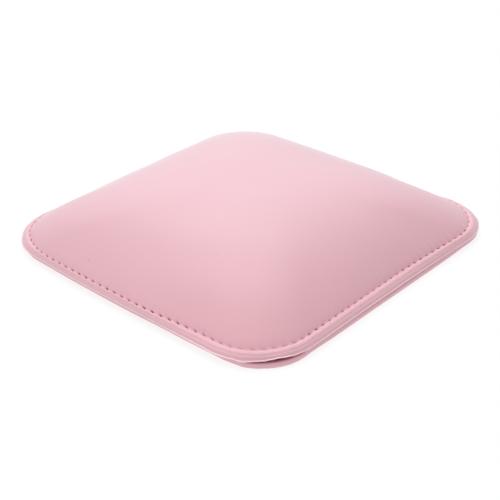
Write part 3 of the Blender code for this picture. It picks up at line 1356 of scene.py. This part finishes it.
class NodeTree:
    """Small helper that adds shader nodes, fills them in and joins their sockets."""

    def __init__(self, tree: bpy.types.NodeTree) -> None:
        """Keep the tree that the nodes go into."""
        self.tree = tree

    def give(self, target: bpy.types.NodeSocket, value: object) -> None:
        """Join an output to an input or set its value.

        Args:
            target: The input.
            value: An output to join, or a number or an RGB colour.
        """
        if isinstance(value, bpy.types.NodeSocket):
            self.tree.links.new(value, target)
        elif target.type == "RGBA":
            target.default_value = (*value, 1)
        else:
            target.default_value = value

    def fill(self, node: bpy.types.Node, **values: object) -> None:
        """Set properties and inputs of a node.

        Args:
            node: The node.
            values: Its properties, or values or outputs for its inputs, by their names with
                spaces as underscores.
        """
        for name, value in values.items():
            if hasattr(node, name):
                setattr(node, name, value)
            else:
                self.give(node.inputs[name.replace("_", " ")], value)

    def add(self, kind: str, **values: object) -> bpy.types.Node:
        """Add a node and fill it in.

        Args:
            kind: Blender's name of the node type.
            values: Its properties and inputs.

        Returns:
            The new node.
        """
        node = self.tree.nodes.new(kind)
        self.fill(node, **values)
        return node

    def maths(self, operation: str, first: object, second: object) -> bpy.types.NodeSocket:
        """Add a maths node.

        Args:
            operation: Blender's name of the operation.
            first: First output or number.
            second: Second output or number.

        Returns:
            The node's output.
        """
        node = self.add("ShaderNodeMath", operation=operation)
        for socket, value in zip(node.inputs, (first, second)):
            self.give(socket, value)
        return node.outputs[0]

    def smooth_range(
        self, value: object, start: object, end: object, first: float, last: float
    ) -> bpy.types.NodeSocket:
        """Add a smooth change from one number to another.

        Args:
            value: What it follows.
            start: Value where the change begins.
            end: Value where it ends.
            first: Number before the change.
            last: Number after it.

        Returns:
            The output with the number.
        """
        node = self.add(
            "ShaderNodeMapRange", interpolation_type="SMOOTHSTEP",
            Value=value, From_Min=start, From_Max=end, To_Min=first, To_Max=last,
        )
        return node.outputs["Result"]

    def mix_colour(self, share: object, first: object, second: object) -> bpy.types.NodeSocket:
        """Add a mix of two colours.

        Args:
            share: Share of the second colour.
            first: First colour.
            second: Second colour.

        Returns:
            The mixed colour.
        """
        node = self.add("ShaderNodeMix", data_type="RGBA")
        inputs = {socket.identifier: socket for socket in node.inputs}
        for name, value in (("Factor_Float", share), ("A_Color", first), ("B_Color", second)):
            self.give(inputs[name], value)
        return next(socket for socket in node.outputs if socket.identifier == "Result_Color")

    def mix_shaders(self, share: object, first: object, second: object) -> bpy.types.NodeSocket:
        """Add a mix of two shaders.

        Args:
            share: Share of the second shader.
            first: First shader.
            second: Second shader.

        Returns:
            The mixed shader.
        """
        node = self.add("ShaderNodeMixShader")
        for socket, value in zip(node.inputs, (share, first, second)):
            self.give(socket, value)
        return node.outputs[0]


class SocketKind(Enum):
    """Kinds of inputs and outputs that the shader node groups have."""

    NUMBER = "NodeSocketFloat"
    VECTOR = "NodeSocketVector"
    COLOUR = "NodeSocketColor"


def new_group(
    name: str, inputs: dict[str, SocketKind | float], outputs: dict[str, SocketKind]
) -> tuple[bpy.types.NodeTree, NodeTree, bpy.types.NodeOutputs, bpy.types.Node]:
    """Start a shader node group.

    Args:
        name: Name of the group.
        inputs: Kind of each input, or a number where it is a number with that default.
        outputs: Kind of each output.

    Returns:
        The group, a helper for its nodes, what it is given and its output node.
    """
    group = bpy.data.node_groups.new(name, "ShaderNodeTree")
    for label, kind in inputs.items():
        default = None if isinstance(kind, SocketKind) else kind
        kind = SocketKind.NUMBER if default is not None else kind
        socket = group.interface.new_socket(name=label, in_out="INPUT", socket_type=kind.value)
        if default is not None:
            socket.default_value = default
    for label, kind in outputs.items():
        group.interface.new_socket(name=label, in_out="OUTPUT", socket_type=kind.value)
    nodes = NodeTree(group)
    return group, nodes, nodes.add("NodeGroupInput").outputs, nodes.add("NodeGroupOutput")


class SurfaceEffects:
    """Shader node groups that several finishes share."""

    def __init__(self) -> None:
        """Build each group once."""
        self.grain = self._grain()
        self.mottle = self._mottle()
        self.creases = self._creases()
        self.marks = self._marks()

    @staticmethod
    def _grain() -> bpy.types.NodeTree:
        """Build the fine grain, which is made of pebbles of uneven height.

        Returns:
            The node group.
        """
        group, nodes, given, result = new_group(
            "pebbled_grain",
            {"Vector": SocketKind.VECTOR, "Cells": 1500.0, "Unevenness": 0.5},
            {"Height": SocketKind.NUMBER},
        )
        cells = nodes.add(
            "ShaderNodeTexVoronoi", feature="SMOOTH_F1",
            Vector=given["Vector"], Scale=given["Cells"], Smoothness=0.6,
        )
        noise = nodes.add(
            "ShaderNodeTexNoise", Vector=given["Vector"], Detail=3.0, Roughness=0.55,
            Scale=nodes.maths("MULTIPLY", given["Cells"], 0.6),
        )
        rough = nodes.maths("MULTIPLY", noise.outputs[0], given["Unevenness"])
        pebbles = nodes.maths("MULTIPLY", cells.outputs["Distance"], -1.0)
        nodes.fill(result, Height=nodes.maths("ADD", pebbles, rough))
        return group

    @staticmethod
    def _mottle() -> bpy.types.NodeTree:
        """Build the faint cloudy change between two colours.

        Returns:
            The node group.
        """
        colour = SocketKind.COLOUR
        group, nodes, given, result = new_group(
            "cloudy_mottle",
            {"Vector": SocketKind.VECTOR, "Clouds": 40.0, "Light": colour, "Dark": colour},
            {"Colour": colour},
        )
        noise = nodes.add(
            "ShaderNodeTexNoise",
            Vector=given["Vector"], Scale=given["Clouds"], Detail=4.0, Roughness=0.5,
        )
        nodes.fill(result, Colour=nodes.mix_colour(noise.outputs[0], given["Dark"], given["Light"]))
        return group

    @staticmethod
    def _creases() -> bpy.types.NodeTree:
        """Build the short fine creases that run up from the stitches.

        Returns:
            The node group.
        """
        group, nodes, given, result = new_group(
            "seam_creases",
            {"Seam place": SocketKind.VECTOR, "Across": 560.0, "Along": 150.0,
             "Inner end": -4.2 * MM, "Outer end": -0.3 * MM},
            {"Height": SocketKind.NUMBER},
        )
        place = nodes.add("ShaderNodeSeparateXYZ", Vector=given["Seam place"]).outputs
        x, y, z = (
            nodes.maths("MULTIPLY", place[axis], given[scale])
            for axis, scale in (("X", "Across"), ("Y", "Across"), ("Z", "Along"))
        )
        scaled = nodes.add("ShaderNodeCombineXYZ", X=x, Y=y, Z=z).outputs[0]
        noise = nodes.add("ShaderNodeTexNoise", Vector=scaled, Scale=1.0, Detail=2.0, Roughness=0.6)
        full = nodes.maths("MULTIPLY", given["Inner end"], 0.35)
        rise = nodes.smooth_range(place["Z"], given["Inner end"], full, 0.0, 1.0)
        fall = nodes.smooth_range(place["Z"], given["Outer end"], 0.0, 1.0, 0.0)
        share = nodes.maths("MULTIPLY", rise, fall)
        nodes.fill(result, Height=nodes.maths("MULTIPLY", noise.outputs[0], share))
        return group

    @staticmethod
    def _marks() -> bpy.types.NodeTree:
        """Build the few small faint marks that lie scattered over the sheet.

        Returns:
            The node group.
        """
        group, nodes, given, result = new_group(
            "scattered_marks",
            {"Vector": SocketKind.VECTOR, "Spacing": 30.0, "Size": 0.022},
            {"Share": SocketKind.NUMBER},
        )
        cells = nodes.add(
            "ShaderNodeTexVoronoi", voronoi_dimensions="2D",
            Vector=given["Vector"], Scale=given["Spacing"],
        )
        spot = nodes.smooth_range(cells.outputs["Distance"], 0.0, given["Size"], 1.0, 0.0)
        strength = nodes.add("ShaderNodeSeparateXYZ", Vector=cells.outputs["Color"]).outputs["X"]
        nodes.fill(result, Share=nodes.maths("MULTIPLY", spot, strength))
        return group


def new_material(name: str) -> tuple[bpy.types.Material, NodeTree, bpy.types.Node]:
    """Start a material with only its Principled shader.

    Args:
        name: Name of the material.

    Returns:
        The material, a helper for its nodes and its shader.
    """
    material = bpy.data.materials.new(name)
    material.use_nodes = True
    nodes = NodeTree(material.node_tree)
    shader = material.node_tree.nodes["Principled BSDF"]
    return material, nodes, shader


@dataclass(frozen=True)
class Finish:
    """Matt finish with a faint mottle and a fine relief.

    Args:
        name: Name of the material.
        light: Colour where it is lightest, linear RGB.
        dark: Colour where it is darkest.
        roughness: Roughness of the surface.
        cells: Cells of the relief in a metre.
        relief: Height of the relief.
        clouds: Clouds of the mottle in a metre.
    """

    name: str
    light: Triple
    dark: Triple
    roughness: float
    cells: float
    relief: float
    clouds: float

    def make(self, effects: SurfaceEffects) -> bpy.types.Material:
        """Build the material.

        Args:
            effects: Groups that the finishes share.

        Returns:
            The material.
        """
        material, nodes, shader = new_material(self.name)
        where = nodes.add("ShaderNodeTexCoord").outputs["Object"]
        nodes.fill(shader, **self.surface(nodes, effects, where))
        return material

    def surface(
        self, nodes: NodeTree, effects: SurfaceEffects, where: bpy.types.NodeSocket
    ) -> dict[str, object]:
        """Add the nodes of the surface.

        Args:
            nodes: Helper for the material's nodes.
            effects: Groups that the finishes share.
            where: Place on the object.

        Returns:
            What the shader's inputs are given.
        """
        mottle = nodes.add(
            "ShaderNodeGroup", node_tree=effects.mottle,
            Vector=where, Clouds=self.clouds, Light=self.light, Dark=self.dark,
        )
        grain = nodes.add("ShaderNodeGroup", node_tree=effects.grain, Vector=where, Cells=self.cells)
        height = grain.outputs["Height"]
        bump = nodes.add("ShaderNodeBump", Strength=1.0, Distance=self.relief, Height=height)
        return {
            "Base_Color": mottle.outputs["Colour"],
            "Roughness": self.roughness,
            "Normal": bump.outputs["Normal"],
        }


@dataclass(frozen=True)
class LeatherFinish(Finish):
    """Satin leather-like sheet with a fine grain.

    Args:
        slant: Colour that it turns to as it is seen at a flatter angle, a painted sheen.
        painted_sheen: Colour of the painted pale sheen where it is seen almost edge on.
        edge: Colour of the painted highlight along the lip's edge and of the painted floor light on
            the border's wall.
        hole: Colour of the painted shade inside the needle holes.
        shade: Colour of the painted shade deep inside the folds and under the border's lip.
        mark: Colour of its few small marks.
        crease_depth: Height of the fine creases beside the stitches.
        edge_gloss: Refractive index of the gloss that pressing gives the edges.
        edge_roughness: Roughness of that gloss.
        painted_sheen_power: Power that keeps the painted sheen to places seen almost edge on.
    """

    slant: Triple
    painted_sheen: Triple
    edge: Triple
    hole: Triple
    shade: Triple
    mark: Triple
    crease_depth: float
    edge_gloss: float = 2.0
    edge_roughness: float = 0.3
    painted_sheen_power: float = 10.0

    def surface(
        self, nodes: NodeTree, effects: SurfaceEffects, where: bpy.types.NodeSocket
    ) -> dict[str, object]:
        """Add the nodes of the surface, with the sheet's painted sheen, marks, painted highlight and
        painted shade, and creases.

        Args:
            nodes: Helper for the material's nodes.
            effects: Groups that the finishes share.
            where: Place on the object.

        Returns:
            What the shader's inputs are given.
        """
        given = super().surface(nodes, effects, where)
        facing = nodes.add("ShaderNodeLayerWeight", Blend=0.5).outputs["Facing"]
        # Painted sheen where the sheet is seen almost edge on
        painted_sheen_share = nodes.maths("POWER", facing, self.painted_sheen_power)
        marks = nodes.add("ShaderNodeGroup", node_tree=effects.marks, Vector=where).outputs["Share"]
        edge, shade, hole = (
            nodes.add("ShaderNodeAttribute", attribute_name=mask.value).outputs["Fac"]
            for mask in (Mask.EDGE, Mask.SHADE, Mask.HOLE_SHADE)
        )
        # Colour layers: painted sheen towards flat viewing angles, real marks, painted highlight on
        # the lip and wall, and painted shade in the folds and needle holes
        layers = (
            (facing, self.slant), (painted_sheen_share, self.painted_sheen), (marks, self.mark),
            (edge, self.edge), (shade, self.shade), (hole, self.hole),
        )
        for share, tone in layers:
            given["Base_Color"] = nodes.mix_colour(share, given["Base_Color"], tone)
        place = nodes.add("ShaderNodeAttribute", attribute_name=SEAM_MAP).outputs["Vector"]
        creases = nodes.add("ShaderNodeGroup", node_tree=effects.creases, Seam_place=place)
        coarse = nodes.add(
            "ShaderNodeBump", Strength=1.0, Distance=self.crease_depth,
            Height=creases.outputs["Height"], Normal=given["Normal"],
        )
        given["Normal"] = coarse.outputs["Normal"]
        given["Coat_Weight"] = edge
        given["Coat_IOR"] = self.edge_gloss
        given["Coat_Roughness"] = self.edge_roughness
        return given


TOP_LEATHER = LeatherFinish(
    name="top_pink_leather",
    light=(1.000, 0.550, 0.618),
    dark=(0.985, 0.527, 0.594),
    # Painted sheen: the colour it turns to when seen at a flatter angle
    slant=(0.800, 0.541, 0.609),
    # Painted pale sheen at grazing angles
    painted_sheen=(0.83, 0.80, 0.80),
    # Painted highlight on the lip and painted floor light on the wall
    edge=(1.00, 0.67, 0.73),
    # Painted shade inside the needle holes
    hole=(0.30, 0.08, 0.12),
    # Painted shade in the folds
    shade=(0.36, 0.05, 0.08),
    mark=(0.78, 0.41, 0.46),
    roughness=0.50,
    cells=1700.0,
    clouds=45.0,
    relief=0.020 * MM,
    crease_depth=0.10 * MM,
)
BASE_LEATHER = LeatherFinish(
    name="base_pink_leather",
    light=(1.00, 0.58, 0.655),
    dark=(0.98, 0.55, 0.625),
    # Painted sheen: the colour it turns to when seen at a flatter angle
    slant=(0.94, 0.59, 0.65),
    # Painted pale sheen at grazing angles
    painted_sheen=(0.86, 0.72, 0.75),
    # Painted highlight colour, which this cover's mesh doesn't use
    edge=(0.98, 0.70, 0.75),
    # Painted shade inside the needle holes
    hole=(0.30, 0.10, 0.14),
    # Painted shade in the gap under the border's lip
    shade=(0.40, 0.042, 0.066),
    mark=(0.70, 0.40, 0.46),
    roughness=0.55,
    cells=1500.0,
    clouds=45.0,
    relief=0.025 * MM,
    crease_depth=0.0,
)
THREAD = Finish(
    name="pink_sewing_thread",
    light=(1.00, 0.55, 0.62),
    dark=(0.97, 0.52, 0.59),
    roughness=0.55,
    cells=6000.0,
    relief=0.002 * MM,
    clouds=400.0,
)
FOAM = Finish(
    name="cream_cushion_foam",
    light=(0.86, 0.83, 0.74),
    dark=(0.76, 0.72, 0.60),
    roughness=0.9,
    cells=900.0,
    relief=0.30 * MM,
    clouds=60.0,
)
BOARD = Finish(
    name="grey_fibre_board",
    light=(0.40, 0.37, 0.33),
    dark=(0.28, 0.25, 0.22),
    roughness=0.85,
    cells=700.0,
    relief=0.05 * MM,
    clouds=250.0,
)


@dataclass(frozen=True)
class SoftLamp:
    """Large, far, soft lamp.

    Args:
        azimuth: Direction towards the lamp round the pad, in degrees from +X.
        elevation: Height of the lamp over the table, in degrees.
        strength: Light that falls on a surface facing the lamp, in watts per square metre.
        spread: Angle that the lamp's face takes up, in degrees.
    """

    azimuth: float
    elevation: float
    strength: float
    spread: float = 50.0

    def build(self, name: str) -> None:
        """Add the lamp to the scene.

        Args:
            name: Name of the lamp.
        """
        data = bpy.data.lights.new(name, "SUN")
        data.energy = self.strength
        data.angle = math.radians(self.spread)
        azimuth, elevation = math.radians(self.azimuth), math.radians(self.elevation)
        direction = Vector((
            math.cos(azimuth) * math.cos(elevation),
            math.sin(azimuth) * math.cos(elevation),
            math.sin(elevation),
        ))
        lamp = link(bpy.data.objects.new(name, data))
        lamp.location = direction
        lamp.rotation_mode = "QUATERNION"
        lamp.rotation_quaternion = direction.to_track_quat("Z", "Y")


@dataclass
class Studio:
    """Camera, soft light and white ground of the photograph.

    Args:
        azimuth: Direction of the camera round the pad, in degrees; 0 looks along +Y.
        elevation: Height of the camera over the table, in degrees.
        roll: Turn of the camera about its own axis, in degrees.
        distance: Distance from the camera to the point it looks at.
        target: Point on the pad that the camera looks at.
        focal_pixels: Focal length in pixels of the photograph.
        frame_pixels: Width of the photograph in pixels.
        sensor_width: Width of the camera's sensor, in millimetres.
        clip: Nearest and farthest distance that the camera sees.
        floor_size: Side of the square floor.
        floor_gap: Depth of the floor under the pad.
        floor_tone: Grey level of the floor's own white.
        floor_roughness: Roughness of the floor.
        ambient: Strength of the even light from all round.
        mirrored: Share of the white surroundings that shows in glossy surfaces.
        high_lamp: Main lamp, above and behind the pad.
        low_lamp: Lower lamp behind the pad, which gives the far slopes their sheen.
        left_lamp: Faint lamp on the left of the photograph.
        floor_glow: Share of the floor's white that doesn't depend on the lamps.
        floor_white: Brightness of that share.
        floor_bounce: The same share for the light that the floor throws back at the pad.
    """

    azimuth: float = -46.71
    elevation: float = 30.03
    roll: float = -1.53
    distance: float = 0.45027
    target: Triple = (-0.01532, -0.01468, 0.0049)
    focal_pixels: float = 1119.45
    frame_pixels: float = 500.0
    sensor_width: float = 36.0
    clip: tuple[float, float] = (0.01, 50.0)
    floor_size: float = 6.0
    floor_gap: float = 0.05 * MM
    floor_tone: float = 0.93
    floor_roughness: float = 0.8
    ambient: float = 0.474
    mirrored: float = 0.7
    high_lamp: SoftLamp = SoftLamp(azimuth=60.0, elevation=62.0, strength=0.95)
    low_lamp: SoftLamp = SoftLamp(azimuth=45.0, elevation=35.0, strength=0.80)
    left_lamp: SoftLamp = SoftLamp(azimuth=150.0, elevation=32.0, strength=0.29)
    floor_glow: float = 0.75
    floor_white: float = 1.08
    floor_bounce: float = 0.58

    def add_camera(self) -> None:
        """Put the camera where the photograph was taken from."""
        data = bpy.data.cameras.new("camera")
        data.sensor_width = self.sensor_width
        data.lens = data.sensor_width * self.focal_pixels / self.frame_pixels
        data.clip_start, data.clip_end = self.clip
        azimuth, elevation = math.radians(self.azimuth), math.radians(self.elevation)
        back = Vector((
            math.sin(azimuth) * math.cos(elevation),
            -math.cos(azimuth) * math.cos(elevation),
            math.sin(elevation),
        ))
        right = (-back).cross(Vector((0, 0, 1))).normalized()
        turned = Matrix.Rotation(math.radians(self.roll), 3, back) @ right
        upward = back.cross(turned)
        camera = link(bpy.data.objects.new("camera", data))
        rotation = Matrix((turned, upward, back)).transposed().to_4x4()
        camera.matrix_world = Matrix.Translation(Vector(self.target) + back * self.distance) @ rotation
        bpy.context.scene.camera = camera

    def add_floor(self) -> None:
        """Lay the white floor, which can be seen through from below."""
        mesh = bpy.data.meshes.new("floor")
        work = bmesh.new()
        bmesh.ops.create_grid(work, x_segments=1, y_segments=1, size=self.floor_size / 2)
        work.to_mesh(mesh)
        work.free()
        floor = link(bpy.data.objects.new("floor", mesh))
        floor.location = (0.0, 0.0, -self.floor_gap)
        dress(floor, self._floor_material())

    def _floor_material(self) -> bpy.types.Material:
        """Build the floor's material: white, with the pad's soft shadow kept.

        Returns:
            The material.
        """
        material, nodes, shader = new_material("white_floor")
        tone = (self.floor_tone,) * 3
        nodes.fill(shader, Base_Color=tone, Roughness=self.floor_roughness, Specular_IOR_Level=0.0)
        glow = nodes.add("ShaderNodeEmission", Strength=self.floor_white).outputs[0]
        rays = nodes.add("ShaderNodeLightPath").outputs
        seen = nodes.maths("MAXIMUM", rays["Is Camera Ray"], rays["Is Glossy Ray"])
        seen = nodes.maths("MAXIMUM", seen, rays["Is Transmission Ray"])
        bounced = nodes.maths("MULTIPLY", rays["Is Diffuse Ray"], self.floor_bounce)
        share = nodes.maths("MAXIMUM", nodes.maths("MULTIPLY", seen, self.floor_glow), bounced)
        lit = nodes.mix_shaders(share, shader.outputs[0], glow)
        clear = nodes.add("ShaderNodeBsdfTransparent").outputs[0]
        below = nodes.add("ShaderNodeNewGeometry").outputs["Backfacing"]
        surface = nodes.mix_shaders(below, lit, clear)
        nodes.fill(material.node_tree.nodes["Material Output"], Surface=surface)
        return material

    def add_light(self) -> None:
        """Add the even light from all round and the three soft lamps."""
        world = bpy.data.worlds.new("studio")
        bpy.context.scene.world = world
        world.use_nodes = True
        nodes = NodeTree(world.node_tree)
        dim = world.node_tree.nodes["Background"]
        nodes.fill(dim, Color=(1, 1, 1), Strength=self.ambient)
        bright = nodes.add("ShaderNodeBackground", Color=(1, 1, 1), Strength=1.0)
        rays = nodes.add("ShaderNodeLightPath").outputs
        seen = nodes.maths("MAXIMUM", rays["Is Camera Ray"], rays["Is Transmission Ray"])
        glossy = nodes.maths("MULTIPLY", rays["Is Glossy Ray"], self.mirrored)
        seen = nodes.maths("MAXIMUM", seen, glossy)
        surface = nodes.mix_shaders(seen, dim.outputs[0], bright.outputs[0])
        nodes.fill(world.node_tree.nodes["World Output"], Surface=surface)
        self.high_lamp.build("high_lamp")
        self.low_lamp.build("low_lamp")
        self.left_lamp.build("left_lamp")

    def build(self) -> None:
        """Set up the whole studio."""
        scene = bpy.context.scene
        scene.view_settings.view_transform = "Standard"
        self.add_camera()
        self.add_floor()
        self.add_light()


def report_piece(item: bpy.types.Object) -> None:
    """Log a piece with its count of faces."""
    log.info("%s: %d faces", item.name, len(item.data.polygons))


def main() -> None:
    """Build the pad's pieces in order, dress them and set up the studio."""
    logging.basicConfig(level=logging.INFO, format="%(name)s: %(message)s")
    shape = PadShape.of_frame()
    walk = SeamWalk(shape.seam)
    effects = SurfaceEffects()
    top_leather = TOP_LEATHER.make(effects)
    base_leather = BASE_LEATHER.make(effects)
    thread = THREAD.make(effects)

    cover = TopCover(shape, walk).build()
    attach(cover, BODY)
    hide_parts("top_cover")
    dress(cover, top_leather)
    report_piece(cover)

    base = BaseCover(shape, walk).build()
    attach(base, BODY)
    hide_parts("base_cover")
    dress(base, base_leather)
    report_piece(base)

    needle = StitchRow(
        shape, walk, ThreadSide.NEEDLE, radius=0.27 * MM,
        middle_height=shape.seam_height - 0.13 * MM, dip=-0.45 * MM, hole_gap=0.75 * MM,
    ).build()
    bobbin = StitchRow(
        shape, walk, ThreadSide.BOBBIN, radius=0.15 * MM,
        middle_height=0.20 * MM, dip=0.35 * MM,
    ).build()
    for item, side in ((needle, ThreadSide.NEEDLE), (bobbin, ThreadSide.BOBBIN)):
        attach(item, BODY)
        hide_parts(side.value)
        dress(item, thread)
        report_piece(item)

    for node, finish in (("foam_pad", FOAM), ("base_board", BOARD)):
        dress(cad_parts[node], finish.make(effects))
        report_piece(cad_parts[node])

    Studio().build()


if __name__ == "__main__":
    main()
